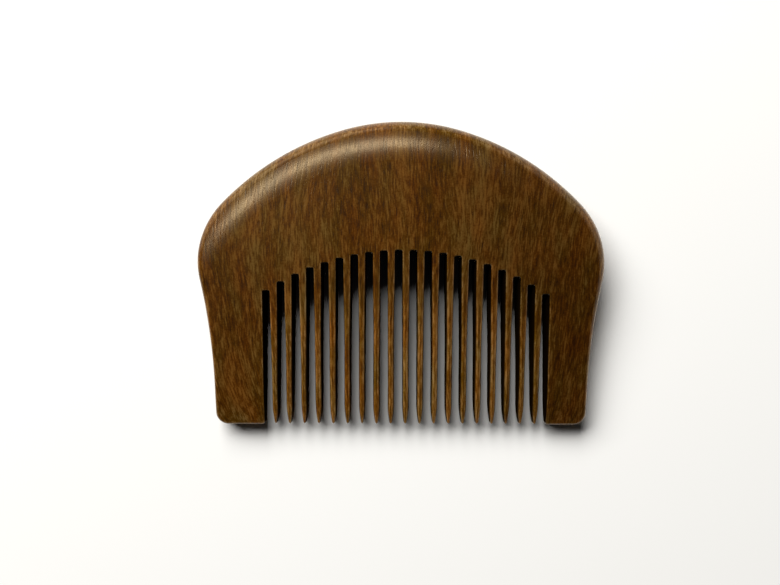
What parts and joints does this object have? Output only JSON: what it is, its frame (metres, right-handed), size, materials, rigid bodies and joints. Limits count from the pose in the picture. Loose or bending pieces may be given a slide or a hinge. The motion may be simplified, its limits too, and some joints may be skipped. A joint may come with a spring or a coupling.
{
  "type": "wide tooth comb",
  "caption": "Half-moon wooden comb: a thick rounded spine over a row of wide, blunt-tipped teeth between two broad end guards.",
  "frame": {"origin": "below the middle of the comb, on the plane of its flat back", "axes": "+X across the row of teeth, +Y from the tooth tips to the crown of the spine, +Z through the thickness, out of the front face"},
  "size_m": [0.1, 0.075, 0.0108],
  "materials": {
    "hardwood": "satin"
  },
  "bodies": {
    "root": {"spine": "hardwood", "left_end_guard": "hardwood", "right_end_guard": "hardwood", "tooth_01": "hardwood", "tooth_02": "hardwood", "tooth_03": "hardwood", "tooth_04": "hardwood", "tooth_05": "hardwood", "tooth_06": "hardwood", "tooth_07": "hardwood", "tooth_08": "hardwood", "tooth_09": "hardwood", "tooth_10": "hardwood", "tooth_11": "hardwood", "tooth_12": "hardwood", "tooth_13": "hardwood", "tooth_14": "hardwood", "tooth_15": "hardwood", "tooth_16": "hardwood", "tooth_17": "hardwood", "tooth_18": "hardwood", "tooth_19": "hardwood"}
  },
  "joints": []
}
